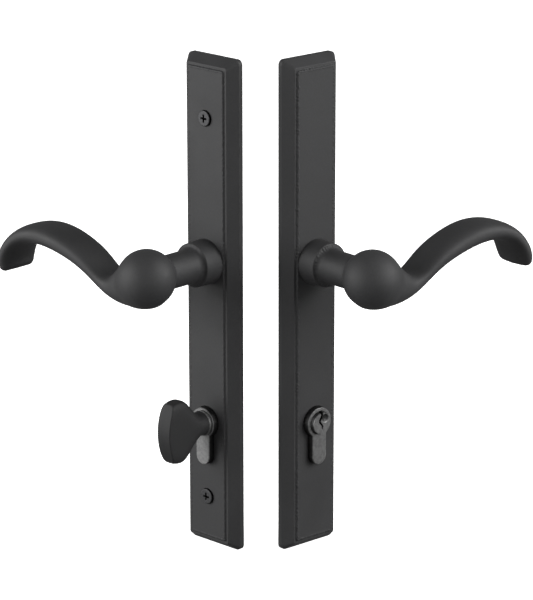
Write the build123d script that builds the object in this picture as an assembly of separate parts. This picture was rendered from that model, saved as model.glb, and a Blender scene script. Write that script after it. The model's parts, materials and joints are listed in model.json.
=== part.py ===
from build123d import *
import math
import os

# Lever trim set for a multipoint lock: an inside half with a thumbturn and an outside half with a key plug,
# standing back to back in a V. Each half is modelled lying on its back: X across the door, Y up the door,
# Z out of the door with the plate's back face at Z = 0. Heights along Y start at the plate's lower edge.

# Set: how far each half is turned outwards, and how far from the middle it stands
INTERIOR_TURN = 43.8
EXTERIOR_TURN = 40.4
HALF_SPREAD = 23.7

# Back plate
PLATE_W = 38.1
PLATE_H = 279.4
EDGE_LAND = 2.7
BEVEL = 4.2
LEDGE_Z = 8.4
LEDGE_W = 1.6
STEP_W = 0.5
PANEL_RISE = 0.9
CORNER_R = 3.0
LEDGE_CORNER_R = 1.2
LEDGE_ROUND = 0.5
PANEL_CORNER_R = 0.6
PANEL_ROUND = 0.25
FRONT_WALL = 3.2
BACK_RIM = 3.9

# Heights of the features up the plate
LEVER_Y = 165.8
CYLINDER_PITCH = 92.0
UPPER_SCREW_DROP = 33.4
LOWER_SCREW_Y = 29.6

# Collar, bush and journal
COLLAR_R = 12.7
COLLAR_TAPER = 0.4
COLLAR_H = 11.4
COLLAR_ROUND = 0.7
SPIGOT_R = 11.0
BUSH_R = 9.0
BUSH_LIP = 0.3
JOURNAL_R = 7.6
RUNNING = 0.05
END_PLAY = 0.1

# Lever
NECK_R = 9.5
NECK_FLARE = 3.0
BALL_R = 16.0
BALL_OUT = 45.5
BLEND_R = 3.0
TIP_ROUND = 1.4
INTERIOR_GRIP_L = 103.6
EXTERIOR_GRIP_L = 106.4

# How far each grip hangs below level, in degrees
INTERIOR_DROOP = 1.4
EXTERIOR_DROOP = -0.4

# Grip stations: share of the grip's length, above its axis, half width, half thickness, shift out of the door
GRIP_STATIONS = [
    (0.0, -1.0, 13.4, 13.4, 0.0),
    (0.1215, -5.7, 12.2, 11.4, -0.8),
    (0.2475, -7.5, 10.6, 5.8, -2.2),
    (0.3925, 1.3, 10.9, 5.1, -1.7),
    (0.5515, 9.1, 11.9, 5.9, -0.9),
    (0.757, 12.8, 12.3, 5.8, 0.5),
    (0.9375, 5.4, 12.4, 4.8, 1.8),
    (0.9945, -7.8, 12.3, 4.6, 2.4),
    (1.0, -12.6, 10.8, 4.2, 2.6),
]

# Lever's hardware behind the plate
WASHER_T = 0.8
WASHER_R = 11.6
RING_T = 1.0
RING_R = 10.2
GROOVE_D = 0.9
RING_GAP_ANGLE = 50.0
JOURNAL_END = 1.5
DOG_T = 1.2
DOG_R = 9.8
DOG_ARM_W = 3.9
DOG_TAB_IN = 17.0
DOG_TAB_T = 1.5
DOG_TAB_L = 3.4
WIRE_W = 1.2
COIL_R = 12.7
COIL_GAP = 0.05
COIL_TURNS = 2
LEG_REACH = 19.8
PEG_IN = 14.2
PEG_T = 1.7
PEG_BACK = 1.8
SPINDLE_W = 8.0
SPINDLE_PAST_GRUB = 4.4
SPINDLE_OUT = 15.2
SPINDLE_CHAMFER = 0.8
SOCKET_PLAY = 0.03

# Set screws
GRUB_R = 2.5
GRUB_UP = 5.1
GRUB_HEX = 2.5
KNOB_GRUB_R = 2.0
KNOB_GRUB_HEX = 2.0
GRUB_SINK = 0.5
THREAD_PLAY = 0.04
CUT_PAST = 1.0

# Fixing screws and posts
BOSS_R = 6.0
SCREW_R = 2.45
SCREW_HOLE_R = 2.75
SCREW_OUT = 16.0
HEAD_R = 4.4
HEAD_H = 2.0
HEAD_ROUND = 0.6
HEAD_SINK_R = 4.6
HEAD_SINK = 0.6
CROSS_L = 4.8
CROSS_W = 1.2
CROSS_D = 1.7
POST_R = 4.0
POST_L = 15.2
POST_STUD_R = 3.0
POST_STUD_L = 4.6
POST_TAP_R = 2.1
POST_TAP_L = 12.0
POST_CHAMFER = 0.6

# Profile cylinder
CYL_R = 8.5
CYL_H = 33.0
LOBE_W = 10.0
CYL_OUT = 3.8
CYL_BEHIND = 9.0
CYL_CHAMFER = 0.4
CYL_PLAY = 0.3
CYL_BOSS_WALL = 2.0
PLUG_R = 6.75
PLUG_FACE_R = 6.0
PLUG_RISE = 2.0
PLUG_TAIL = 1.7
CLIP_T = 0.8
CLIP_R = 8.0
CLIP_GROOVE_D = 1.1
CLIP_GAP_ANGLE = 70.0
SCOOP_R = 4.0
SCOOP_D = 1.1
SCOOP_AT = (2.5, 2.6)

# Keyway corners about the plug's axis, clockwise from the top left, seen from the front
KEYWAY = [(-1.4, 6.9), (1.3, 6.9), (0.5, 4.7), (0.35, 2.9), (-1.1, 1.4), (0.9, -1.6), (0.5, -3.4),
          (-0.3, -3.4), (-0.2, -1.7), (-2.4, 1.0), (-2.2, 2.6), (-0.8, 4.6)]

# Pin stacks in the key cylinder, front to back
PIN_R = 1.4
PIN_PLAY = 0.05
PIN_PITCH = 3.5
PIN_FIRST = 4.0
KEY_PIN_L = [3.2, 2.4, 3.6, 2.8, 3.4]
KEY_PIN_TIP_R = 0.7
KEY_PIN_TIP_L = 0.9
SHEAR_GAP = 0.12
DRIVER_L = 6.0
PIN_WIRE_W = 0.4
PIN_SPRING_TURNS = 3
CAP_T = 2.0
PIN_HOLE_TOP = -0.6

# Thumbturn
FLANGE_R = 7.3
FLANGE_T = 1.2
FLANGE_CHAMFER = 0.3
STUB_R = 4.0
STUB_L = 11.0
KNOB_NECK_R = 6.9
KNOB_GRUB_UP = 3.2
KNOB_L = 29.0
KNOB_BULGE = 4.6
KNOB_ROUND = 0.9

# Knob stations: out from its base, half height, half thickness
KNOB_STATIONS = [
    (0.0, KNOB_NECK_R, KNOB_NECK_R),
    (4.5, KNOB_NECK_R, KNOB_NECK_R),
    (9.5, 11.6, 6.4),
    (15.0, 17.0, 5.8),
    (21.0, 17.9, 5.4),
    (KNOB_L, 16.6, 4.6),
]

# Levels along Z that several pieces share
PANEL_Z = LEDGE_Z + PANEL_RISE
FLOOR_Z = PANEL_Z - FRONT_WALL
COLLAR_Z = PANEL_Z + COLLAR_H
SHOULDER_Z = COLLAR_Z + BUSH_LIP + END_PLAY
GRUB_Z = SHOULDER_Z + GRUB_UP
SPINDLE_IN = GRUB_Z + SPINDLE_PAST_GRUB
BALL_Z = PANEL_Z + BALL_OUT
RING_TOP_Z = FLOOR_Z - WASHER_T - END_PLAY
RING_BACK_Z = RING_TOP_Z - RING_T
DOG_TOP_Z = JOURNAL_END - END_PLAY
UPPER_SCREW_Y = PLATE_H - UPPER_SCREW_DROP
CYL_Y = LEVER_Y - CYLINDER_PITCH
CYL_FACE_Z = PANEL_Z + CYL_OUT
LOBE_DROP = CYL_H - CYL_R - LOBE_W / 2
PLUG_BORE_R = PLUG_R + RUNNING
LEG_X = DOG_ARM_W / 2 + WIRE_W / 2 + COIL_GAP
HEAD_SEAT_Z = PANEL_Z - HEAD_SINK


def turned(corners):
    """Solid of revolution about Z from (radius, height) corners."""
    return revolve(Plane.XZ * make_face(Polyline(*corners, close=True)), Axis.Z)


def tube(outer, inner, low, high):
    """Ring about Z between two heights."""
    return turned([(inner, low), (outer, low), (outer, high), (inner, high)])


def rod(radius, low, high):
    """Round bar about Z between two heights."""
    return Pos(0, 0, low) * Cylinder(radius, high - low, align=(Align.CENTER, Align.CENTER, Align.MIN))


def open_ring(outer, inner, low, high, gap_angle):
    """Ring with a sector of gap_angle degrees cut out at its lower side."""
    reach = 2 * outer
    half = math.radians(gap_angle / 2)
    corners = [(0, 0), (-reach * math.sin(half), -reach * math.cos(half)),
               (reach * math.sin(half), -reach * math.cos(half))]
    sector = extrude(Pos(0, 0, low) * make_face(Polyline(*corners, close=True)), high - low)
    return tube(outer, inner, low, high) - sector


def coil(radius, wire_w, turns, pitch, low, start_angle=0.0):
    """Helix of square wire about Z that starts at height low and the given angle."""
    path = Helix(pitch=pitch, height=pitch * turns, radius=radius)
    section = Plane(origin=path @ 0, x_dir=(1, 0, 0), z_dir=path % 0) * Rectangle(wire_w, wire_w)
    return Pos(0, 0, low) * Rot(0, 0, start_angle) * sweep(section, path=path, is_frenet=True)


def euro_outline(grow=0.0):
    """Profile cylinder's outline about the plug's axis: a circle with a hanging lobe."""
    lobe = Pos(0, -LOBE_DROP / 2) * Rectangle(LOBE_W + 2 * grow, LOBE_DROP)
    return Circle(CYL_R + grow) + lobe + Pos(0, -LOBE_DROP) * Circle(LOBE_W / 2 + grow)


def plate_outline(inset, corner):
    """Plate's outline drawn in by inset on each side, standing on the plate's lower edge."""
    return Pos(0, PLATE_H / 2) * RectangleRounded(PLATE_W - 2 * inset, PLATE_H - 2 * inset, corner)


def plate_shell():
    """Cast plate with a square edge, bevelled sides, a ledge, a raised panel and a hollow back."""
    back = plate_outline(0, CORNER_R)
    front = plate_outline(BEVEL, LEDGE_CORNER_R)
    slope = loft([Pos(0, 0, EDGE_LAND) * back, Pos(0, 0, LEDGE_Z) * front], ruled=True)
    body = extrude(back, EDGE_LAND) + slope
    body = fillet(body.edges().group_by(Axis.Z)[-1], LEDGE_ROUND)
    foot = plate_outline(BEVEL + LEDGE_W, PANEL_CORNER_R + STEP_W)
    top = plate_outline(BEVEL + LEDGE_W + STEP_W, PANEL_CORNER_R)
    panel = loft([Pos(0, 0, LEDGE_Z) * foot, Pos(0, 0, PANEL_Z) * top], ruled=True)
    panel = fillet(panel.edges().group_by(Axis.Z)[-1], PANEL_ROUND)
    pocket = extrude(plate_outline(BACK_RIM, CORNER_R), FLOOR_Z)
    return body + panel - pocket


def plate(is_interior):
    """Plate with its bosses, the spring's peg, the lever bore, the cylinder hole and the fixing holes."""
    at_lever = Pos(0, LEVER_Y, 0)
    at_cylinder = Pos(0, CYL_Y, 0)
    body = plate_shell()
    body += at_cylinder * extrude(euro_outline(CYL_PLAY + CYL_BOSS_WALL), FLOOR_Z)
    peg = Pos(0, PEG_IN + PEG_T / 2, (PEG_BACK + FLOOR_Z) / 2) * Box(DOG_ARM_W, PEG_T, FLOOR_Z - PEG_BACK)
    body += at_lever * peg
    for y in (LOWER_SCREW_Y, UPPER_SCREW_Y):
        body += Pos(0, y, 0) * rod(BOSS_R, 0, FLOOR_Z)
    body -= at_lever * rod(SPIGOT_R, 0, PANEL_Z)
    body -= at_cylinder * extrude(euro_outline(CYL_PLAY), PANEL_Z)
    for y in (LOWER_SCREW_Y, UPPER_SCREW_Y):
        if is_interior:
            body -= Pos(0, y, 0) * (rod(SCREW_HOLE_R, 0, PANEL_Z) + rod(HEAD_SINK_R, HEAD_SEAT_Z, PANEL_Z))
        else:
            body -= Pos(0, y, 0) * rod(POST_STUD_R + THREAD_PLAY, 0, POST_STUD_L + END_PLAY)
    return body


def collar():
    """Turned collar with a spigot that goes through the plate's wall."""
    body = turned([(BUSH_R, FLOOR_Z), (SPIGOT_R, FLOOR_Z), (SPIGOT_R, PANEL_Z), (COLLAR_R, PANEL_Z),
                   (COLLAR_R - COLLAR_TAPER, COLLAR_Z), (BUSH_R, COLLAR_Z)])
    rim = body.edges().filter_by(GeomType.CIRCLE).group_by(Axis.Z)[-1].sort_by(SortBy.RADIUS)[-1]
    return Pos(0, LEVER_Y, 0) * fillet(rim, COLLAR_ROUND)


def grip(side):
    """Curled grip lofted through elliptical sections, each square to the curve of the lever."""
    length = INTERIOR_GRIP_L if side < 0 else EXTERIOR_GRIP_L
    points = [Vector(side * share * length, up, BALL_Z + shift) for share, up, _, _, shift in GRIP_STATIONS]
    path = Spline(*[(p.X, p.Y) for p in points])
    sections = []
    for point, (_, _, half_w, half_t, _) in zip(points, GRIP_STATIONS):
        heading = path.tangent_at(path.param_at_point((point.X, point.Y)))
        square = Plane(origin=point, x_dir=(0, 0, 1), z_dir=heading)
        sections.append(square * Ellipse(half_w, half_t))
    body = loft(sections)
    tip = body.faces().sort_by_distance(points[-1])[0]
    droop = INTERIOR_DROOP if side < 0 else EXTERIOR_DROOP
    return Rot(0, 0, -side * droop) * fillet(tip.edges(), TIP_ROUND)


def lever(side):
    """Cast lever: journal, neck, ball and curled grip, with the spindle's socket and the set screw's hole."""
    groove_r = JOURNAL_R - GROOVE_D
    play = END_PLAY / 2
    shank = turned([(0, JOURNAL_END), (JOURNAL_R, JOURNAL_END), (JOURNAL_R, RING_BACK_Z - play),
                    (groove_r, RING_BACK_Z - play), (groove_r, RING_TOP_Z + play),
                    (JOURNAL_R, RING_TOP_Z + play), (JOURNAL_R, SHOULDER_Z), (NECK_R, SHOULDER_Z),
                    (NECK_R, BALL_Z), (0, BALL_Z)])
    body = shank + Pos(0, 0, BALL_Z) * Sphere(BALL_R)
    joint_z = BALL_Z - math.sqrt(BALL_R**2 - NECK_R**2)
    joint = body.edges().filter_by(GeomType.CIRCLE).sort_by(lambda e: abs(e.center().Z - joint_z))[0]
    stem = fillet(joint, NECK_FLARE)
    tail = grip(side)
    body = stem + tail
    body = fillet(new_edges(stem, tail, combined=body), BLEND_R)
    socket_w = SPINDLE_W + 2 * SOCKET_PLAY
    depth = SPINDLE_IN + END_PLAY - JOURNAL_END
    body -= Pos(0, 0, JOURNAL_END + depth / 2) * Box(socket_w, socket_w, depth)
    body -= Pos(0, 0, GRUB_Z) * Rot(90, 0, 0) * rod(GRUB_R, 0, NECK_R + CUT_PAST)
    return Pos(0, LEVER_Y, 0) * body


def grub_screw(radius, inner, outer, hex_w):
    """Set screw along -Y from inner to outer, with a hexagon socket in its outer end."""
    socket = RegularPolygon(hex_w / math.sqrt(3), 6)
    half = (outer - inner) / 2
    screw = rod(radius - THREAD_PLAY, inner, outer) - extrude(Pos(0, 0, outer) * socket, -half)
    return Rot(90, 0, 0) * screw


def lever_grub_screw():
    screw = grub_screw(GRUB_R, SPINDLE_W / 2, NECK_R - GRUB_SINK, GRUB_HEX)
    return Pos(0, LEVER_Y, GRUB_Z) * screw


def spindle():
    """Square half spindle, from the lever's socket to behind the plate."""
    length = SPINDLE_IN + SPINDLE_OUT
    bar = Pos(0, 0, SPINDLE_IN - length / 2) * Box(SPINDLE_W, SPINDLE_W, length)
    bar = chamfer(bar.faces().sort_by(Axis.Z)[0].edges(), SPINDLE_CHAMFER)
    return Pos(0, LEVER_Y, 0) * bar


def drive_plate():
    """Dog plate on the square spindle: a disc with an arm, whose folded tab is between the spring's legs."""
    tab_end = DOG_TAB_IN + DOG_TAB_T
    face = Circle(DOG_R) + Pos(0, tab_end / 2) * Rectangle(DOG_ARM_W, tab_end)
    hole = Rectangle(SPINDLE_W + 2 * SOCKET_PLAY, SPINDLE_W + 2 * SOCKET_PLAY)
    body = extrude(Pos(0, 0, DOG_TOP_Z - DOG_T) * (face - hole), DOG_T)
    tab = Pos(0, DOG_TAB_IN + DOG_TAB_T / 2, DOG_TOP_Z + DOG_TAB_L / 2) * Box(DOG_ARM_W, DOG_TAB_T, DOG_TAB_L)
    return Pos(0, LEVER_Y, 0) * (body + tab)


def return_spring():
    """Torsion spring round the journal, with two straight legs either side of the peg and the dog's tab."""
    pitch = WIRE_W + COIL_GAP
    leg_angle = math.degrees(math.asin(LEG_X / COIL_R))
    turns = COIL_TURNS - 2 * leg_angle / 360
    top = FLOOR_Z - COIL_GAP - WIRE_W / 2
    low = top - pitch * turns
    leg_foot = math.sqrt(COIL_R**2 - LEG_X**2) - WIRE_W / 2
    leg = Box(WIRE_W, LEG_REACH - leg_foot, WIRE_W, align=(Align.CENTER, Align.MIN, Align.CENTER))
    body = coil(COIL_R, WIRE_W, turns, pitch, low, 90 + leg_angle)
    body += Pos(-LEG_X, leg_foot, low) * leg
    body += Pos(LEG_X, leg_foot, top) * leg
    return Pos(0, LEVER_Y, 0) * body


def lever_pieces(name, side):
    """Pieces of one half's lever, by node name."""
    at_lever = Pos(0, LEVER_Y, 0)
    bush = tube(BUSH_R, JOURNAL_R + RUNNING, FLOOR_Z, COLLAR_Z + BUSH_LIP)
    washer = tube(WASHER_R, JOURNAL_R + 2 * RUNNING, FLOOR_Z - WASHER_T, FLOOR_Z)
    ring = open_ring(RING_R, JOURNAL_R - GROOVE_D + RUNNING, RING_BACK_Z, RING_TOP_Z, RING_GAP_ANGLE)
    return {
        f"{name}_collar": collar(),
        f"{name}_bush": at_lever * bush,
        f"{name}_thrust_washer": at_lever * washer,
        f"{name}_return_spring": return_spring(),
        f"{name}_lever": lever(side),
        f"{name}_spindle": spindle(),
        f"{name}_grub_screw": lever_grub_screw(),
        f"{name}_retaining_ring": at_lever * ring,
        f"{name}_drive_plate": drive_plate(),
    }


def fixing_screw():
    """Cross-head screw with a rounded pan head, sunk a little in the panel."""
    top = HEAD_SEAT_Z + HEAD_H
    head = rod(HEAD_R, HEAD_SEAT_Z, top)
    head = fillet(head.edges().group_by(Axis.Z)[-1], HEAD_ROUND)
    arms = Rectangle(CROSS_L, CROSS_W) + Rectangle(CROSS_W, CROSS_L)
    cross = extrude(Pos(0, 0, top - CROSS_D) * arms, CROSS_D)
    cross &= turned([(0, top - CROSS_D), (CROSS_W / 2, top - CROSS_D), (CROSS_L / 2, top), (0, top)])
    shank = rod(SCREW_R, -SCREW_OUT, HEAD_SEAT_Z)
    shank = chamfer(shank.edges().group_by(Axis.Z)[0], SCREW_R / 3)
    return head + shank - cross


def fixing_post():
    """Round post with a tapped end for a fixing screw and a stud screwed in the plate's boss."""
    post = rod(POST_R, -POST_L, 0)
    post = chamfer(post.edges().group_by(Axis.Z)[0], POST_CHAMFER)
    return post + rod(POST_STUD_R, 0, POST_STUD_L) - rod(POST_TAP_R, -POST_L, POST_TAP_L - POST_L)


def cylinder_body():
    """Half of a profile cylinder with the bore for its plug or rotor."""
    body = extrude(Pos(0, 0, -CYL_BEHIND) * euro_outline(), CYL_BEHIND + CYL_FACE_Z)
    body = chamfer(body.edges().group_by(Axis.Z)[-1], CYL_CHAMFER)
    return body - rod(PLUG_BORE_R, -CYL_BEHIND, CYL_FACE_Z)


def plug_tail():
    """Corners of the plug's back end, with the clip's groove, from the middle outwards and up to the bore."""
    groove_r = PLUG_R - CLIP_GROOVE_D
    groove_top = -CYL_BEHIND - END_PLAY / 2
    groove_low = groove_top - CLIP_T - END_PLAY
    return [(0, -CYL_BEHIND - PLUG_TAIL), (PLUG_R, -CYL_BEHIND - PLUG_TAIL), (PLUG_R, groove_low),
            (groove_r, groove_low), (groove_r, groove_top), (PLUG_R, groove_top)]


def clip():
    """Spring clip in the groove behind the cylinder body."""
    top = -CYL_BEHIND - END_PLAY
    return open_ring(CLIP_R, PLUG_R - CLIP_GROOVE_D + RUNNING, top - CLIP_T, top, CLIP_GAP_ANGLE)


def pin_places():
    """Distance out of the door of each pin stack, front to back."""
    return [CYL_FACE_Z - PIN_FIRST - i * PIN_PITCH for i in range(len(KEY_PIN_L))]


def key_plug():
    """Plug with a tapered nose, a winding keyway, a scoop beside it and the holes for the key pins."""
    body = turned(plug_tail() + [(PLUG_R, CYL_FACE_Z), (PLUG_FACE_R, CYL_FACE_Z + PLUG_RISE),
                                 (0, CYL_FACE_Z + PLUG_RISE)])
    length = CYL_BEHIND + PLUG_TAIL + CYL_FACE_Z + PLUG_RISE
    keyway = make_face(Polyline(*KEYWAY, close=True))
    body -= extrude(Pos(0, 0, -CYL_BEHIND - PLUG_TAIL) * keyway, length)
    body -= Pos(*SCOOP_AT, CYL_FACE_Z + PLUG_RISE + SCOOP_R - SCOOP_D) * Rot(90, 0, 0) * Sphere(SCOOP_R)
    for z in pin_places():
        body -= Pos(0, 0, z) * Rot(90, 0, 0) * rod(PIN_R + PIN_PLAY, -PIN_HOLE_TOP, PLUG_R)
    return body


def key_cylinder_pieces():
    """Key cylinder's body, plug, clip and five pin stacks, about the plug's axis, by node name."""
    shear = math.sqrt(PLUG_R**2 - PIN_R**2) - SHEAR_GAP / 2
    driver_top = PLUG_BORE_R + SHEAR_GAP / 2
    spring_top = driver_top + DRIVER_L + PIN_PLAY
    lobe_end = LOBE_DROP + LOBE_W / 2
    cap_top = lobe_end - CAP_T
    spring_r = PIN_R - PIN_WIRE_W / 2
    spring_low = spring_top + PIN_WIRE_W / 2
    pitch = (cap_top - spring_top - PIN_WIRE_W - PIN_PLAY) / PIN_SPRING_TURNS
    body = cylinder_body()
    pieces = {"key_plug": key_plug(), "plug_clip": clip()}
    for i, (z, length) in enumerate(zip(pin_places(), KEY_PIN_L), start=1):
        down = Pos(0, 0, z) * Rot(90, 0, 0)
        body -= down * rod(PIN_R + PIN_PLAY, 0, lobe_end)
        key_pin = turned([(0, shear - length), (KEY_PIN_TIP_R, shear - length),
                          (PIN_R, shear - length + KEY_PIN_TIP_L), (PIN_R, shear), (0, shear)])
        pieces[f"key_pin_{i}"] = down * key_pin
        pieces[f"driver_pin_{i}"] = down * rod(PIN_R, driver_top, driver_top + DRIVER_L)
        pieces[f"pin_spring_{i}"] = down * coil(spring_r, PIN_WIRE_W, PIN_SPRING_TURNS, pitch, spring_low)
        cap = rod(PIN_R + PIN_PLAY, cap_top, lobe_end)
        pieces[f"chamber_cap_{i}"] = (down * cap) & extrude(Pos(0, 0, -CYL_BEHIND) * euro_outline(),
                                                            CYL_BEHIND + CYL_FACE_Z)
    pieces["exterior_cylinder_body"] = body
    return pieces


def knob_low():
    """Level of the knob's base, in front of the rotor's flange."""
    return CYL_FACE_Z + END_PLAY + FLANGE_T


def thumbturn_rotor():
    """Rotor that turns in the cylinder, with a flange in front and a stub inside the knob."""
    flange_z = CYL_FACE_Z + END_PLAY
    base = knob_low()
    front = [(PLUG_R, flange_z), (FLANGE_R, flange_z), (FLANGE_R, base - FLANGE_CHAMFER),
             (FLANGE_R - FLANGE_CHAMFER, base), (STUB_R, base), (STUB_R, base + STUB_L), (0, base + STUB_L)]
    return turned(plug_tail() + front)


def thumbturn_knob():
    """Fan-shaped turn, lofted from a round neck to a flat wing, with a bulging front edge."""
    low = knob_low()
    front = low + KNOB_L
    body = loft([Pos(0, 0, low + out) * Ellipse(half_t, half_h) for out, half_h, half_t in KNOB_STATIONS])
    half_h = max(half for _, half, _ in KNOB_STATIONS)
    foot = front - KNOB_BULGE
    bulge = ThreePointArc((-half_h, foot), (0, front), (half_h, foot))
    sides = Polyline((half_h, foot), (half_h, low), (-half_h, low), (-half_h, foot))
    side_view = make_face([*sides.edges(), bulge])
    body &= extrude(Plane.YZ * side_view, half_h, both=True)
    rim = body.edges().filter_by(lambda e: e.center().Z > front - 2 * KNOB_BULGE)
    body = fillet(rim, KNOB_ROUND)
    body -= rod(STUB_R + RUNNING, low, low + STUB_L + END_PLAY)
    hole = rod(KNOB_GRUB_R, 0, KNOB_NECK_R + CUT_PAST)
    return body - Pos(0, 0, low + KNOB_GRUB_UP) * Rot(90, 0, 0) * hole


def thumbturn_pieces():
    """Thumbturn, its rotor, clip, set screw and half cylinder, about the rotor's axis, by node name."""
    screw = grub_screw(KNOB_GRUB_R, STUB_R, KNOB_NECK_R - GRUB_SINK, KNOB_GRUB_HEX)
    return {
        "interior_cylinder_body": cylinder_body(),
        "thumbturn_rotor": thumbturn_rotor(),
        "thumbturn_knob": thumbturn_knob(),
        "thumbturn_set_screw": Pos(0, 0, knob_low() + KNOB_GRUB_UP) * screw,
        "thumbturn_clip": clip(),
    }


def interior_half():
    """Inside half by node name: plate, lever, fixing screws and thumbturn cylinder."""
    pieces = {"interior_plate": plate(True), **lever_pieces("interior", -1)}
    pieces["upper_fixing_screw"] = Pos(0, UPPER_SCREW_Y, 0) * fixing_screw()
    pieces["lower_fixing_screw"] = Pos(0, LOWER_SCREW_Y, 0) * fixing_screw()
    pieces.update({name: Pos(0, CYL_Y, 0) * piece for name, piece in thumbturn_pieces().items()})
    return pieces


def exterior_half():
    """Outside half by node name: plate, lever, fixing posts and key cylinder."""
    pieces = {"exterior_plate": plate(False), **lever_pieces("exterior", 1)}
    pieces["upper_fixing_post"] = Pos(0, UPPER_SCREW_Y, 0) * fixing_post()
    pieces["lower_fixing_post"] = Pos(0, LOWER_SCREW_Y, 0) * fixing_post()
    pieces.update({name: Pos(0, CYL_Y, 0) * piece for name, piece in key_cylinder_pieces().items()})
    return pieces


def stand(side, depth=0.0):
    """Place of a half in the set: stood up, turned outwards and moved to its side (-1 inside, +1 outside)."""
    turn = INTERIOR_TURN if side < 0 else EXTERIOR_TURN
    return Pos(side * HALF_SPREAD, depth, 0) * Rot(0, 0, side * turn) * Rot(90, 0, 0)


def set_depth(halves):
    """Shift along Y that puts the middle of the set's depth over the origin."""
    placed = [stand(side) * piece for side, pieces in halves.items() for piece in pieces.values()]
    boxes = [piece.bounding_box() for piece in placed]
    return -(min(b.min.Y for b in boxes) + max(b.max.Y for b in boxes)) / 2


HALVES = {-1: interior_half(), 1: exterior_half()}
SET_DEPTH = set_depth(HALVES)

os.makedirs("parts", exist_ok=True)
for half_side, half_pieces in HALVES.items():
    for node, solid in half_pieces.items():
        export_step(stand(half_side, SET_DEPTH) * solid, f"parts/{node}.step")
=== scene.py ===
import json
import math
import bpy
import numpy as np
from mathutils import Matrix, Vector


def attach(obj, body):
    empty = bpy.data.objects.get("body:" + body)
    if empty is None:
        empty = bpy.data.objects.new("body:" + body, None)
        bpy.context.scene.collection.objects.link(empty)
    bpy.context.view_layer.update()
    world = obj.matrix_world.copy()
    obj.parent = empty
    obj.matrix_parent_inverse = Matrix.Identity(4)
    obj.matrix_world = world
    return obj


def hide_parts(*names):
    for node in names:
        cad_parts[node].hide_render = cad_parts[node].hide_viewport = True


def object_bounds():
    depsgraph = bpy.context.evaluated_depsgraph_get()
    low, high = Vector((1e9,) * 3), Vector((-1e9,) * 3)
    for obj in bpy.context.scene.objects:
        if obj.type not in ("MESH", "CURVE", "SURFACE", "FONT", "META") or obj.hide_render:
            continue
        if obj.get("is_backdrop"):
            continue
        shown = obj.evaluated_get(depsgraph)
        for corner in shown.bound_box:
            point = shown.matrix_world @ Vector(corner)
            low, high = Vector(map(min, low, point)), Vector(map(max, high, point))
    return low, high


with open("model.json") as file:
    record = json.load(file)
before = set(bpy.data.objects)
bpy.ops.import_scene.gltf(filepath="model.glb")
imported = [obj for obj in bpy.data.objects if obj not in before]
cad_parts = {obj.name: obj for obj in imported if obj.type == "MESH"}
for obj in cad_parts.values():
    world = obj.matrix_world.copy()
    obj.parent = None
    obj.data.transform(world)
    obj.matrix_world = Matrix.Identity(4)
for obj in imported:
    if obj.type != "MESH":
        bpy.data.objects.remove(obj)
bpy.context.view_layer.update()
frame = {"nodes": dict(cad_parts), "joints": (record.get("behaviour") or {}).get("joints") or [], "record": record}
nodes = frame["nodes"]
MM = 0.001


# Where the plates stand: a plate's own millimetres run across, up and out of the door

LEVER_Y = 165.8
PANEL_Z = 9.3


def plate_axes(joint_name, outward):
    """Origin and axes (across, up, out) of the plate that carries a lever, from the lever's joint, whose
    axis runs outward (1) or inward (-1)."""
    joint = next(j for j in frame["joints"] if j["name"] == joint_name)
    out = outward * np.array(joint["axis"])
    up = np.array([0.0, 0.0, 1.0])
    across = np.cross(up, out)
    origin = np.array(joint["pos_m"]) - out * PANEL_Z * MM - up * LEVER_Y * MM
    return origin, np.stack([across, up, out])


def placed(points, plate, height):
    """Points in a plate's own millimetres, taken about a height on it, moved to the frame's metres."""
    origin, axes = plate
    return origin + (points + [0, height, 0]) * MM @ axes


PLATES = {"interior": plate_axes("interior_lever_turn", 1),
          "exterior": plate_axes("exterior_lever_turn", -1)}


# Materials

# Depths below a face, in millimetres, where painted shade begins to darken a metal and where it is darkest
PAINTED_SHADE_FROM = 0.25
PAINTED_SHADE_AT = 0.6


def srgb(code):
    """Linear RGBA of an sRGB hex colour."""
    parts = [int(code[i:i + 2], 16) / 255 for i in (1, 3, 5)]
    return (*[c / 12.92 if c <= 0.04045 else ((c + 0.055) / 1.055) ** 2.4 for c in parts], 1.0)


def add(tree, kind, settings=(), links=()):
    """One node of a kind. A setting is a property, an input's value, or a ramp's stops as (place, sRGB hex)
    pairs. A link joins an input to another node's output."""
    node = tree.nodes.new(kind)
    for name, value in dict(settings).items():
        if name == "stops":
            for stop, (place, code) in zip(node.color_ramp.elements, value):
                stop.position, stop.color = place, srgb(code)
        elif isinstance(name, str) and hasattr(node, name):
            setattr(node, name, value)
        else:
            node.inputs[name].default_value = value
    for name, source in dict(links).items():
        tree.links.new(source, node.inputs[name])
    return node


def new_material(name):
    """Empty node material with its output, and its Object coordinates."""
    material = bpy.data.materials.new(name)
    material.use_nodes = True
    tree = material.node_tree
    tree.nodes.clear()
    output = add(tree, "ShaderNodeOutputMaterial")
    where = add(tree, "ShaderNodeTexCoord").outputs["Object"]
    return material, tree, output, where


def per_metre(size_mm):
    """Noise scale whose features are about size_mm across, for coordinates in metres."""
    return 1.0 / (size_mm * MM)


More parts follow.
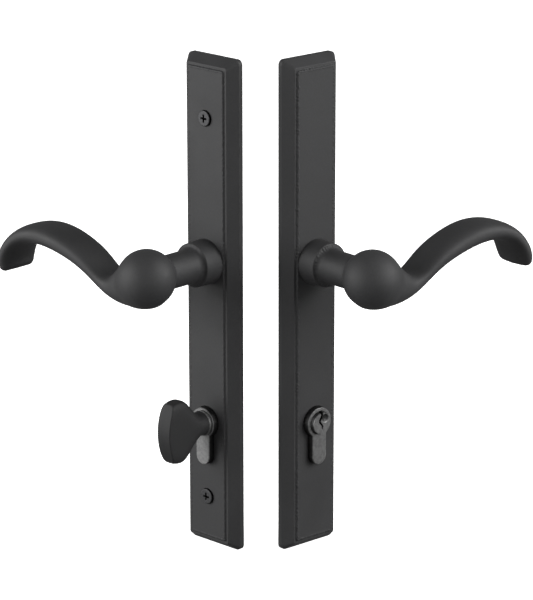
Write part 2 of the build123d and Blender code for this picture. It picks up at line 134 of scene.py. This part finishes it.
def sand_cast_bronze(name, low, high, ior):
    """Sand-cast bronze under a flat black patina: the mould's grain breaks the sheen into fine grit, the
    skin waves slowly, and the black is a little thinner in clouds, where it looks greyer. Moulding sand is
    finer than a pixel, so its grit is drawn at 0.9 mm."""
    material, tree, output, where = new_material(name)
    grit = add(tree, "ShaderNodeTexNoise", {"Scale": per_metre(0.9), "Detail": 3.0, "Roughness": 0.6},
               {"Vector": where})
    skin = add(tree, "ShaderNodeTexNoise", {"Scale": per_metre(9.0), "Detail": 2.0}, {"Vector": where})
    cloud = add(tree, "ShaderNodeTexNoise", {"Scale": per_metre(22.0), "Detail": 4.0, "Roughness": 0.55},
                {"Vector": where})
    tone = add(tree, "ShaderNodeValToRGB", {"stops": [(0.35, low), (0.68, high)]},
               {"Fac": cloud.outputs["Fac"]})
    speck = add(tree, "ShaderNodeMapRange",
                {"From Min": 0.35, "From Max": 0.7, "To Min": 0.9, "To Max": 1.12},
                {"Value": grit.outputs["Fac"]})
    colour = add(tree, "ShaderNodeVectorMath", {"operation": "SCALE"},
                 {"Vector": tone.outputs["Color"], "Scale": speck.outputs["Result"]})
    rough = add(tree, "ShaderNodeMapRange",
                {"From Min": 0.3, "From Max": 0.7, "To Min": 0.62, "To Max": 0.72},
                {"Value": cloud.outputs["Fac"]})
    waves = add(tree, "ShaderNodeBump", {"Strength": 0.2, "Distance": 0.4 * MM},
                {"Height": skin.outputs["Fac"]})
    grain = add(tree, "ShaderNodeBump", {"Strength": 0.3, "Distance": 0.1 * MM},
                {"Height": grit.outputs["Fac"], "Normal": waves.outputs["Normal"]})
    shader = add(tree, "ShaderNodeBsdfPrincipled", {"Metallic": 0.0, "IOR": ior},
                 {"Base Color": colour.outputs["Vector"], "Roughness": rough.outputs["Result"],
                  "Normal": grain.outputs["Normal"]})
    tree.links.new(shader.outputs["BSDF"], output.inputs["Surface"])
    return material


def metal(name, low, high, rough_low, rough_high, grain_mm, bump_mm, shaded_recess=None):
    """Metal whose colour and gloss vary between two values with a grain of the given size. With a recess,
    given by the direction out of the door, the level of the face and a share of the colour, its colour is
    scaled down to that share below the face: painted shade in the recess."""
    material, tree, output, where = new_material(name)
    grain = add(tree, "ShaderNodeTexNoise", {"Scale": per_metre(grain_mm), "Detail": 4.0, "Roughness": 0.6},
                {"Vector": where})
    tone = add(tree, "ShaderNodeValToRGB", {"stops": [(0.35, low), (0.65, high)]},
               {"Fac": grain.outputs["Fac"]})
    rough = add(tree, "ShaderNodeMapRange",
                {"From Min": 0.3, "From Max": 0.7, "To Min": rough_low, "To Max": rough_high},
                {"Value": grain.outputs["Fac"]})
    bump = add(tree, "ShaderNodeBump", {"Strength": 0.3, "Distance": bump_mm * MM},
               {"Height": grain.outputs["Fac"]})
    colour = tone.outputs["Color"]
    if shaded_recess:
        out, face, shade_share = shaded_recess
        # Painted shade: below the face the colour is scaled down towards the share, darkening the recess as if in
        # shade
        level = add(tree, "ShaderNodeVectorMath", {"operation": "DOT_PRODUCT", 1: out}, {0: where})
        recess_shade = add(tree, "ShaderNodeMapRange",
                   {"From Min": face - PAINTED_SHADE_AT * MM, "From Max": face - PAINTED_SHADE_FROM * MM,
                    "To Min": shade_share, "To Max": 1.0},
                   {"Value": level.outputs["Value"]})
        colour = add(tree, "ShaderNodeVectorMath", {"operation": "SCALE"},
                     {"Vector": colour, "Scale": recess_shade.outputs["Result"]}).outputs["Vector"]
    shader = add(tree, "ShaderNodeBsdfPrincipled", {"Metallic": 1.0},
                 {"Base Color": colour, "Roughness": rough.outputs["Result"],
                  "Normal": bump.outputs["Normal"]})
    tree.links.new(shader.outputs["BSDF"], output.inputs["Surface"])
    return material


def moulded_acetal():
    """Black acetal, moulded: waxy, with a faint mottle."""
    material, tree, output, where = new_material("moulded_black_acetal")
    mottle = add(tree, "ShaderNodeTexNoise", {"Scale": per_metre(4.0), "Detail": 3.0}, {"Vector": where})
    tone = add(tree, "ShaderNodeValToRGB", {"stops": [(0.3, "#19191a"), (0.7, "#202021")]},
               {"Fac": mottle.outputs["Fac"]})
    shader = add(tree, "ShaderNodeBsdfPrincipled", {"Roughness": 0.4, "IOR": 1.48},
                 {"Base Color": tone.outputs["Color"]})
    tree.links.new(shader.outputs["BSDF"], output.inputs["Surface"])
    return material


# Levels of the screw heads, the cylinder's face and the key plug's front, in a plate's own millimetres
SCREW_FACE_Z = 10.7
CYL_FACE_Z = 13.1
PLUG_FACE_Z = 15.1

# Share of the colour that is left where shade is painted into a recess
SCREW_PAINTED_SHADE = 0.1
NICKEL_PAINTED_SHADE = 0.25

# Nickel's two colours, two roughnesses, and its grain and bump in millimetres
NICKEL = ("#676767", "#7b7b7b", 0.48, 0.58, 1.6, 0.02)


def shade_below_level(plate, face_mm, shade_share):
    """Painted shade in a metal's recess below a level of a plate, in the plate's millimetres: direction, level and
    share of the colour.
    """
    origin, axes = plate
    return axes[2], origin @ axes[2] + face_mm * MM, shade_share


FINISHES = {
    "black_cast_bronze": sand_cast_bronze("sand_cast_bronze_black_patina", "#1f1f20", "#262627", 1.5),
    "dark_nickel_brass": metal("satin_dark_nickel_painted_shade_plate", *NICKEL),
    # The screws' cross recesses and the sides below their heads' face get painted shade
    "blackened_steel": metal("black_oxide_steel_painted_shade", "#3c3c3d", "#484849", 0.5, 0.62, 0.8, 0.02,
                             shade_below_level(PLATES["interior"], SCREW_FACE_Z, SCREW_PAINTED_SHADE)),
    "zinc_plated_steel": metal("zinc_plated_steel", "#a9adb0", "#c2c5c7", 0.3, 0.42, 1.2, 0.01),
    "spring_steel": metal("oiled_spring_steel", "#6a6a6b", "#8a8a8b", 0.28, 0.4, 0.8, 0.01),
    "brass": metal("turned_brass", "#b89a52", "#cbb06a", 0.25, 0.38, 0.7, 0.01),
    "acetal": moulded_acetal(),
}

slot_of = {part["node"]: part["material_slot"] for part in frame["record"]["subparts"]}
for name, node in nodes.items():
    node.data.materials.clear()
    node.data.materials.append(FINISHES[slot_of[name]])

# Cylinder faces and the key plug's front keep the nickel's colour, and their flanks, the scoop and the keyway
# below get painted shade
for name, half, face_mm in (("interior_cylinder_body", "interior", CYL_FACE_Z),
                            ("exterior_cylinder_body", "exterior", CYL_FACE_Z),
                            ("key_plug", "exterior", PLUG_FACE_Z)):
    shaded_recess = shade_below_level(PLATES[half], face_mm, NICKEL_PAINTED_SHADE)
    nodes[name].data.materials[0] = metal(f"satin_dark_nickel_painted_shade_{name}", *NICKEL, shaded_recess)


# Meshes

SHARP_DEGREES = 40


def new_piece(name, points, faces, smooth=True):
    """Object at the origin with a mesh of points, in metres, and faces."""
    mesh = bpy.data.meshes.new(name)
    mesh.from_pydata(points.reshape(-1, 3).tolist(), [], faces)
    mesh.polygons.foreach_set("use_smooth", np.full(len(faces), smooth))
    mesh.update()
    piece = bpy.data.objects.new(name, mesh)
    bpy.context.scene.collection.objects.link(piece)
    return piece


def closed_grid(name, grid):
    """Piece of a grid of points whose rows and columns both close on themselves, with faces outwards."""
    rows, cols = grid.shape[:2]
    index = np.arange(rows * cols).reshape(rows, cols)
    after, beside = np.roll(index, -1, axis=0), np.roll(index, -1, axis=1)
    corner = np.roll(after, -1, axis=1)
    faces = np.stack([index, after, corner, beside], axis=-1).reshape(-1, 4)
    return new_piece(name, grid, faces.tolist())


def closed_skins(name, skins):
    """Piece of several closed skins: rings of points with a pole at each end, faces outwards (turned round
    where the volume inside, the sum of corner products over six, comes out negative)."""
    points, quads, fans, first = [], [], [], 0
    for rings, start, end in skins:
        rows, cols = rings.shape[:2]
        index = first + np.arange(rows * cols).reshape(rows, cols)
        beside = np.roll(index, -1, axis=1)
        quad = np.stack([index[:-1], beside[:-1], beside[1:], index[1:]], axis=-1).reshape(-1, 4)
        pole = first + rows * cols
        fan = np.concatenate([np.stack([np.full(cols, pole), beside[0], index[0]], axis=-1),
                              np.stack([np.full(cols, pole + 1), index[-1], beside[-1]], axis=-1)])
        corner = np.concatenate([rings.reshape(-1, 3), [start, end]])
        triangles = np.concatenate([quad[:, :3], quad[:, [0, 2, 3]], fan]) - first
        a, b, c = (corner[triangles[:, i]] for i in range(3))
        if np.einsum("ij,ij->", a, np.cross(b, c)) < 0:
            quad, fan = quad[:, ::-1], fan[:, ::-1]
        points.append(corner)
        quads.append(quad)
        fans.append(fan)
        first += len(corner)
    faces = np.concatenate(quads).tolist() + np.concatenate(fans).tolist()
    piece = new_piece(name, np.concatenate(points), faces)
    piece.data.set_sharp_from_angle(angle=math.radians(SHARP_DEGREES))
    return piece


def wobble(count, perimeter, rng, finest=1.6, coarsest=9.0, waves=60):
    """Closed random curve of mean square 1: a sum of sines with whole numbers of waves round a perimeter,
    each wave between the finest and the coarsest length, in millimetres."""
    turns = rng.integers(int(perimeter / coarsest), int(perimeter / finest), waves)
    phase = rng.uniform(0, 2 * np.pi, waves)
    along = np.linspace(0, 2 * np.pi, count, endpoint=False)
    return np.sin(turns * along[:, None] + phase).sum(axis=1) * np.sqrt(2 / waves)


def smooth_through(knots, values, at):
    """Natural cubic spline through rows of values at knots: the bends come from one linear system, and then
    each span has its cubic."""
    span = np.diff(knots)
    inner = np.arange(1, len(knots) - 1)
    system = np.eye(len(knots))
    system[inner, inner - 1] = span[:-1]
    system[inner, inner] = 2 * (span[:-1] + span[1:])
    system[inner, inner + 1] = span[1:]
    turn = np.zeros(values.shape)
    turn[inner] = 6 * np.diff(np.diff(values, axis=0) / span[:, None], axis=0)
    bend = np.linalg.solve(system, turn)
    i = np.clip(np.searchsorted(knots, at) - 1, 0, len(span) - 1)
    width, before, after = span[i][:, None], (knots[i + 1] - at)[:, None], (at - knots[i])[:, None]
    return ((bend[i] * before**3 + bend[i + 1] * after**3) / (6 * width)
            + (values[i] / width - bend[i] * width / 6) * before
            + (values[i + 1] / width - bend[i + 1] * width / 6) * after)


# Cast edge of each plate's raised panel, in the plate's own millimetres about its middle

PLATE_H = 279.4
PANEL_HALF_W = 12.75
PANEL_HALF_H = 133.4
PANEL_CORNER = 0.6
CORNER_POINTS = 5
LEDGE_Z = 8.4
STEP_W = 0.5
EDGE_STEP = 0.35

# Profile: distance outside the panel, level, and shares of the step's sway, foot's lift and crest's lift
EDGE_PROFILE = np.array([
    (1.25, LEDGE_Z - 0.05, 1.6, 0.0, 0.0),
    (1.0, LEDGE_Z + 0.02, 1.2, 0.5, 0.0),
    (STEP_W + 0.25, LEDGE_Z + 0.1, 1.0, 0.6, 0.0),
    (STEP_W + 0.1, LEDGE_Z + 0.3, 1.0, 0.3, 0.0),
    (STEP_W - 0.05, LEDGE_Z + 0.6, 1.0, 0.0, 0.2),
    (0.3, PANEL_Z - 0.05, 1.0, 0.0, 0.5),
    (0.1, PANEL_Z + 0.05, 0.8, 0.0, 0.8),
    (-0.2, PANEL_Z + 0.09, 0.6, 0.0, 0.8),
    (-0.6, PANEL_Z + 0.04, 0.4, 0.0, 0.5),
    (-1.0, PANEL_Z - 0.05, 0.4, 0.0, 0.0),
    (-1.0, LEDGE_Z - 0.6, 0.0, 0.0, 0.0),
    (1.25, LEDGE_Z - 0.6, 0.0, 0.0, 0.0),
])


def panel_outline():
    """Points and outward normals round the panel: each quarter is a corner arc and the side after it."""
    reach = np.array([PANEL_HALF_W, PANEL_HALF_H]) - PANEL_CORNER
    centres = np.array([[1, 1], [-1, 1], [-1, -1], [1, -1]]) * reach
    points, normals = [], []
    for quarter, centre in enumerate(centres):
        turn = np.pi / 2 * (quarter + np.linspace(0, 1, CORNER_POINTS))
        arc = np.stack([np.cos(turn), np.sin(turn)], axis=-1)
        run = centres[(quarter + 1) % 4] - centre
        share = np.linspace(0, 1, int(np.linalg.norm(run) / EDGE_STEP), endpoint=False)[1:, None]
        points += [centre + PANEL_CORNER * arc, centre + PANEL_CORNER * arc[-1] + share * run]
        normals += [arc, np.repeat(arc[-1:], len(share), axis=0)]
    return np.concatenate(points), np.concatenate(normals)


def cast_edge(name, plate, seed, waver):
    """Rough cast edge of a raised panel: a closed profile of a foot on the ledge, a rounded step and a
    crest on the panel, buried below, carried round the outline while foot, step and crest each waver."""
    points, normals = panel_outline()
    perimeter = 4 * (PANEL_HALF_W + PANEL_HALF_H)
    rng = np.random.default_rng(seed)
    foot, step, crest = (waver * wobble(len(points), perimeter, rng)[:, None] for _ in range(3))
    beside, level, sway, lift_foot, lift_crest = EDGE_PROFILE.T
    outside = beside + step * sway
    out = level + foot * lift_foot + crest * lift_crest
    flat = points[:, None] + normals[:, None] * outside[..., None]
    grid = np.concatenate([flat, out[..., None]], axis=-1)
    return closed_grid(name, placed(grid, plate, PLATE_H / 2))


for half, seed, waver in (("interior", 11, 0.06), ("exterior", 23, 0.1)):
    edge = cast_edge(f"{half}_panel_cast_edge", PLATES[half], seed, waver)
    edge.data.materials.append(FINISHES["black_cast_bronze"])
    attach(edge, "set")


# Levers, in the plate's own millimetres about the spindle's axis

NECK_R = 9.5
BALL_R = 16.0
BALL_Z = 54.8
BALL_RINGS = 30
NECK_BLEND = 3.0
BLEND_RINGS = 12
NECK_STEP = 0.25
COLLAR_Z = 20.7
SHOULDER_R = 9.2
SHOULDER_Z = 21.1
FLARE = 2.2
FLARE_H = 3.2
FLARE_GAP = 0.02
FLARE_RINGS = 14
JOURNAL_R = 7.6
JOURNAL_END = 1.5
SHANK_END = BALL_Z - BALL_R / 2
RING_GROOVE = (4.15, 5.25)
RING_GROOVE_R = 6.7
GRUB_Z = 26.2
GRUB_R = 2.5
PIT_DEPTH = 1.0
PIT_WALL = 0.3
TIP_ROUND = 2.4
TIP_RINGS = 9
CURL_POWER = 5
GRIP_FADE = 8.0
LEAST_HALF = 1e-6
FULLNESS = 2.5
LOWER_FILL = 4.5
UPPER_FILL = 2.5
RING_POINTS = 96
LEVER_STEP = 0.8

# Side that the grip points to, its length, degrees that it hangs below level, how far its end curls back
GRIPS = {"interior": (-1, 103.6, 1.4, 3.6), "exterior": (1, 106.4, -0.4, 0.5)}

# Seed and height of the waver on the flare's rim
FLARES = {"interior": (31, 0.04), "exterior": (43, 0.16)}

# Grip stations: share of its length, height over its axis, half width, half thickness, shift outwards
GRIP_STATIONS = np.array([
    (0.0, -1.0, 13.4, 13.4, 0.0),
    (0.1215, -5.7, 12.2, 11.4, -0.8),
    (0.2475, -7.5, 10.6, 5.8, -2.2),
    (0.3925, 1.3, 10.9, 5.1, -1.7),
    (0.5515, 9.1, 11.9, 5.9, -0.9),
    (0.757, 12.8, 12.3, 5.8, 0.5),
    (0.9375, 5.6, 12.4, 4.5, 1.8),
    (0.9945, -7.4, 12.3, 4.0, 2.4),
    (1.0, -10.8, 10.8, 3.6, 2.6),
])


def lever_spine(side, length, curl_back):
    """Rows of across, up, out, half width and half thickness along a lever, their headings, and the
    spine's first point. A spline runs through the grip's stations, which curl_back times place^5 draws
    back. It goes straight on through the ball to its far side, while the grip's oval fades, and its tip is
    rounded off."""
    share, up, half_w, half_t, shift = GRIP_STATIONS.T
    place = np.arange(len(share)) / (len(share) - 1)
    across = side * (share * length - curl_back * place**CURL_POWER)
    stations = np.stack([across, up, BALL_Z + shift, half_w, half_t], axis=-1)
    steps = np.linalg.norm(np.diff(stations[:, :2], axis=0), axis=1)
    knots = np.concatenate([[0], np.cumsum(steps)])
    along = np.linspace(0, knots[-1], int(knots[-1] / LEVER_STEP))
    rows = smooth_through(knots, stations, along)
    heading = np.gradient(rows[:, :2], along, axis=0)
    heading /= np.linalg.norm(heading, axis=1)[:, None]
    lead = rows[0, :2] @ heading[0]
    far = lead + np.sqrt(lead**2 + BALL_R**2 - rows[0, :2] @ rows[0, :2])
    back = far * np.cos(np.linspace(0, np.pi / 2, BALL_RINGS)[1:-1])
    straight = np.repeat(rows[:1], len(back), axis=0)
    straight[:, :2] -= back[:, None] * heading[0]
    straight[:, 3:] *= np.clip(1 - (back / GRIP_FADE)**2, 0, 1)[:, None]
    start = straight[0, :3] - np.append((far - back[0]) * heading[0], 0)
    body = along < knots[-1] - TIP_ROUND
    turn = np.linspace(0, np.pi / 2, TIP_RINGS)
    cap = smooth_through(knots, stations, knots[-1] - TIP_ROUND * (1 - np.sin(turn)))
    cap[:, 3:] -= TIP_ROUND * (1 - np.cos(turn))[:, None]
    headings = [np.repeat(heading[:1], len(back), axis=0), heading[body],
                np.repeat(heading[-1:], len(turn), axis=0)]
    return np.concatenate([straight, rows[body], cap]), np.concatenate(headings), start


def lever_skin(side, length, droop, curl_back):
    """Ball and grip as one skin. Round each point of the spine the reach is the greater of the grip's oval,
    |aside / half thickness|^n + |out / half width|^n = 1, and of the ball, rounded off where they are
    nearly equal: greater + max(fill - difference, 0)^2 / (4 fill). The whole is turned by the droop."""
    rows, heading, start = lever_spine(side, length, curl_back)
    angle = np.linspace(0, 2 * np.pi, RING_POINTS, endpoint=False)
    ray = np.zeros((len(rows), RING_POINTS, 3))
    ray[..., 0] = -heading[:, 1:] * np.cos(angle)
    ray[..., 1] = heading[:, :1] * np.cos(angle)
    ray[..., 2] = np.sin(angle)
    half_w, half_t = np.maximum(rows[:, 3:4], LEAST_HALF), np.maximum(rows[:, 4:5], LEAST_HALF)
    oval = np.abs(np.cos(angle) / half_t)**FULLNESS + np.abs(np.sin(angle) / half_w)**FULLNESS
    grip = oval**(-1 / FULLNESS)
    offset = rows[:, :3] - [0, 0, BALL_Z]
    towards = np.einsum("ij,ikj->ik", offset, ray)
    away = (offset**2).sum(axis=1)[:, None]
    within = towards**2 - away + BALL_R**2
    # The curled tip's rings look back at the ball, so the ball counts only within two radii of its middle
    near = away < (2 * BALL_R)**2
    sphere = np.maximum(np.sqrt(np.maximum(within, 0)) - towards, 0)
    sphere = np.where((within > 0) & near, sphere, 0)
    rising = np.sign(heading[:, :1]) * np.cos(angle)
    fill = (LOWER_FILL + UPPER_FILL) / 2 + (UPPER_FILL - LOWER_FILL) / 2 * rising
    reach = np.maximum(grip, sphere) + np.maximum(fill - np.abs(grip - sphere), 0)**2 / (4 * fill)
    rings = rows[:, None, :3] + reach[..., None] * ray
    tilt = np.radians(-side * droop)
    turned = np.array([[np.cos(tilt), np.sin(tilt), 0], [-np.sin(tilt), np.cos(tilt), 0], [0, 0, 1]])
    return rings @ turned, start @ turned, rows[-1, :3] @ turned


def set_screw_pit(angle, level, neck_r, screw_level, screw_r):
    """Depth of the pit over a set screw in the underside of a round neck: full within the screw's radius,
    measured round the neck and along it, and none past the pit's wall."""
    below = np.angle(np.exp(1j * (angle + np.pi / 2)))
    away = np.hypot(neck_r * below, level - screw_level)
    return PIT_DEPTH * np.clip((screw_r + PIT_WALL / 2 - away) / PIT_WALL, 0, 1)


def lever_shank(seed, flare_rough):
    """Journal, neck and the neck's flares as one turned skin: radius by level, with the set screw's pit
    below. The flare over the collar and the blend into the ball are arcs, and the flare's rim wavers."""
    flare_low = COLLAR_Z + FLARE_GAP
    journal = np.array([
        (JOURNAL_R, JOURNAL_END), (JOURNAL_R, RING_GROOVE[0]), (RING_GROOVE_R, RING_GROOVE[0]),
        (RING_GROOVE_R, RING_GROOVE[1]), (JOURNAL_R, RING_GROOVE[1]), (JOURNAL_R, SHOULDER_Z),
        (SHOULDER_R, SHOULDER_Z), (SHOULDER_R, flare_low)])
    rise = np.linspace(0, 1, FLARE_RINGS)
    flare_r = NECK_R + FLARE * (1 - np.sqrt(1 - (1 - rise)**2))
    flare = np.stack([flare_r, flare_low + FLARE_H * rise], axis=-1)
    blend_z = BALL_Z - np.sqrt((BALL_R + NECK_BLEND)**2 - (NECK_R + NECK_BLEND)**2)
    neck_z = np.arange(flare_low + FLARE_H, blend_z, NECK_STEP)[1:]
    neck = np.stack([np.full(len(neck_z), NECK_R), neck_z], axis=-1)
    meet = np.arctan2(BALL_Z - blend_z, NECK_R + NECK_BLEND)
    bow = np.linspace(np.pi, np.pi - meet, BLEND_RINGS)
    blend = np.stack([NECK_R + NECK_BLEND * (1 + np.cos(bow)), blend_z + NECK_BLEND * np.sin(bow)], axis=-1)
    profile = np.concatenate([journal, flare, neck, blend, [(BALL_R / 2, SHANK_END)]])
    radius, level = profile[:, :1], profile[:, 1:]
    angle = np.linspace(0, 2 * np.pi, 2 * RING_POINTS, endpoint=False)
    rim = np.zeros((len(profile), 1))
    rim[len(journal):len(journal) + FLARE_RINGS, 0] = (1 - rise)**3
    rng = np.random.default_rng(seed)
    rough = flare_rough * (rim * wobble(len(angle), 2 * np.pi * (NECK_R + FLARE), rng))
    reach = radius - set_screw_pit(angle, level, NECK_R, GRUB_Z, GRUB_R) + rough
    height = level + np.maximum(rough, 0)
    rings = np.stack([reach * np.cos(angle), reach * np.sin(angle), height], axis=-1)
    return rings, np.array([0, 0, JOURNAL_END]), np.array([0, 0, SHANK_END])


for half, plate in PLATES.items():
    skins = [lever_skin(*GRIPS[half]), lever_shank(*FLARES[half])]
    skins = [[placed(points, plate, LEVER_Y) for points in skin] for skin in skins]
    lever = closed_skins(f"{half}_lever_casting", skins)
    lever.data.materials.append(FINISHES["black_cast_bronze"])
    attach(lever, f"{half}_lever")
    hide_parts(f"{half}_lever")


# Thumbturn knob, in the plate's own millimetres about the cylinder's axis

CYL_Y = 73.8
KNOB_LOW = 14.4
KNOB_L = 29.0
KNOB_BULGE = 4.6
KNOB_ROUND = 0.7
KNOB_WIDEST = 17.9
KNOB_SCREW_UP = 3.2
KNOB_SCREW_R = 2.0
KNOB_NECK_R = 6.9
KNOB_RINGS = 9
KNOB_STEP = 0.5

# Knob stations: out from its base, half height, half thickness, squareness
KNOB_STATIONS = np.array([
    (0.0, KNOB_NECK_R, KNOB_NECK_R, 2.0),
    (4.5, KNOB_NECK_R, KNOB_NECK_R, 2.0),
    (9.5, 11.2, 6.4, 2.4),
    (15.0, 16.4, 5.8, 3.4),
    (21.0, KNOB_WIDEST, 5.4, 4.8),
    (KNOB_L, 16.9, 4.9, 5.0),
])


def knob_skin():
    """Fan-shaped knob: at each level an oval, |across / half thickness|^n + |up / half height|^n = 1, that
    grows squarer outwards. Levels are drawn back by bulge (up / widest)^2 (level / length)^3, the front's
    rim is rounded, and the set screw has its pit below."""
    turn = np.linspace(0, np.pi / 2, KNOB_RINGS)
    sides = np.arange(0, KNOB_L - KNOB_ROUND, KNOB_STEP)
    level = np.concatenate([sides, KNOB_L - KNOB_ROUND * (1 - np.sin(turn)), np.full(KNOB_RINGS, KNOB_L)])
    inset = np.concatenate([0 * sides, KNOB_ROUND * (1 - np.cos(turn)), np.full(KNOB_RINGS, KNOB_ROUND)])
    share = np.concatenate([0 * sides + 1, 0 * turn + 1, np.linspace(1, 0, KNOB_RINGS + 2)[1:-1]])
    sizes = smooth_through(KNOB_STATIONS[:, 0], KNOB_STATIONS[:, 1:], level)
    half_h, half_t, square = sizes.T[..., None]
    level, inset, share = level[:, None], inset[:, None], share[:, None]
    angle = np.linspace(0, 2 * np.pi, 2 * RING_POINTS, endpoint=False)
    oval = (np.abs(np.cos(angle) / (half_t - inset))**square
            + np.abs(np.sin(angle) / (half_h - inset))**square)
    pit = set_screw_pit(angle, level, KNOB_NECK_R, KNOB_SCREW_UP, KNOB_SCREW_R)
    reach = share * oval**(-1 / square) - pit
    up = reach * np.sin(angle)
    out = KNOB_LOW + level - KNOB_BULGE * (up / KNOB_WIDEST)**2 * (level / KNOB_L)**3
    rings = np.stack([reach * np.cos(angle), up, out], axis=-1)
    return rings, np.array([0, 0, KNOB_LOW]), np.array([0, 0, KNOB_LOW + KNOB_L])


skin = [placed(points, PLATES["interior"], CYL_Y) for points in knob_skin()]
knob = closed_skins("thumbturn_knob_casting", [skin])
# The knob's bronze is a darker copy of the other castings' bronze, with a weaker sheen
darker_bronze = sand_cast_bronze("sand_cast_bronze_black_patina_darker", "#161617", "#1c1c1d", 1.4)
knob.data.materials.append(darker_bronze)
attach(knob, "thumbturn")
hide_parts("thumbturn_knob")


# Studio: floor, backdrop, lights and camera, in metres, watts and degrees

FLOOR_FRONT = -4.0
FLOOR_BACK = 3.0
FLOOR_HALF_W = 5.0
FLOOR_GAP = 0.0002
COVE_R = 1.2
COVE_POINTS = 24
WALL_TOP = 4.5

SURROUND_STRENGTH = 0.25
LIGHT_TARGET = (0.0, 0.0, 0.15)

# Soft boxes: name, place, size, power
SOFT_BOXES = (
    ("left_soft_box", (-1.5, -0.35, 0.35), 1.4, 42.0),
    ("right_soft_box", (1.5, -0.35, 0.85), 1.4, 41.0),
    ("front_fill", (0.0, -2.2, 0.3), 1.0, 8.0),
)

CAMERA_PLACE = (-0.006728, -1.658186, 0.64536)
CAMERA_TILT = 16.8085
CAMERA_TURN = -0.3286
CAMERA_ROLL = -0.0531
SENSOR_W_MM = 36.0
FOCAL_PX = 3167.9
IMAGE_W, IMAGE_H = 533, 600


def studio_floor():
    """Pale floor that sweeps up behind the object: a profile of floor, cove and wall carried along X."""
    floor_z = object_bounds()[0].z
    turn = np.linspace(0, np.pi / 2, COVE_POINTS)
    depth = np.concatenate([[FLOOR_FRONT], FLOOR_BACK + COVE_R * np.sin(turn), [FLOOR_BACK + COVE_R]])
    height = np.concatenate([[0.0], COVE_R * (1 - np.cos(turn)), [WALL_TOP]]) + floor_z - FLOOR_GAP
    across = np.array([-FLOOR_HALF_W, 0.0, FLOOR_HALF_W])
    grid = np.stack(np.broadcast_arrays(across[:, None], depth, height), axis=-1)
    rows, cols = grid.shape[:2]
    index = np.arange(rows * cols).reshape(rows, cols)
    faces = np.stack([index[:-1, :-1], index[1:, :-1], index[1:, 1:], index[:-1, 1:]], axis=-1)
    floor = new_piece("studio_floor", grid, faces.reshape(-1, 4).tolist(), smooth=False)
    material, tree, output, where = new_material("matt_white_paper")
    fibre = add(tree, "ShaderNodeTexNoise", {"Scale": per_metre(40.0), "Detail": 2.0}, {"Vector": where})
    tone = add(tree, "ShaderNodeValToRGB", {"stops": [(0.3, "#f6f6f6"), (0.7, "#fbfbfb")]},
               {"Fac": fibre.outputs["Fac"]}).outputs["Color"]
    shader = add(tree, "ShaderNodeBsdfPrincipled", {"Roughness": 0.9, "Emission Strength": 1.0},
                 {"Base Color": tone, "Emission Color": tone})
    tree.links.new(shader.outputs["BSDF"], output.inputs["Surface"])
    floor.data.materials.append(material)
    floor.visible_diffuse = False
    floor.visible_glossy = False
    floor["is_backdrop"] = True


def soft_light(name, place, size, power):
    """Square soft box at a place, aimed at the middle of the set."""
    data = bpy.data.lights.new(name, "AREA")
    data.shape = "SQUARE"
    data.size = size
    data.energy = power
    light = bpy.data.objects.new(name, data)
    light.location = place
    light.rotation_euler = (Vector(LIGHT_TARGET) - Vector(place)).to_track_quat("-Z", "Y").to_euler()
    bpy.context.scene.collection.objects.link(light)


def studio_lights():
    """Dim even surroundings, a weak fill in front and a large soft box on each side, so that faces turned
    sideways shine and faces turned to the camera, upwards or downwards stay dark."""
    world = bpy.data.worlds.new("dim_studio")
    bpy.context.scene.world = world
    world.use_nodes = True
    background = world.node_tree.nodes["Background"]
    background.inputs["Color"].default_value = (1, 1, 1, 1)
    background.inputs["Strength"].default_value = SURROUND_STRENGTH
    for soft_box in SOFT_BOXES:
        soft_light(*soft_box)


def photo_camera():
    """Long lens a little above the set, tilted down, as in the photograph."""
    data = bpy.data.cameras.new("photo_camera")
    data.sensor_width = SENSOR_W_MM
    data.sensor_fit = "AUTO"
    data.lens = FOCAL_PX * SENSOR_W_MM / max(IMAGE_W, IMAGE_H)
    camera = bpy.data.objects.new("photo_camera", data)
    camera.matrix_world = (Matrix.Translation(CAMERA_PLACE)
                           @ Matrix.Rotation(math.radians(CAMERA_TURN), 4, "Z")
                           @ Matrix.Rotation(math.radians(90 - CAMERA_TILT), 4, "X")
                           @ Matrix.Rotation(math.radians(CAMERA_ROLL), 4, "Z"))
    bpy.context.scene.collection.objects.link(camera)
    bpy.context.scene.camera = camera


studio_floor()
studio_lights()
photo_camera()
bpy.context.scene.view_settings.view_transform = "Standard"
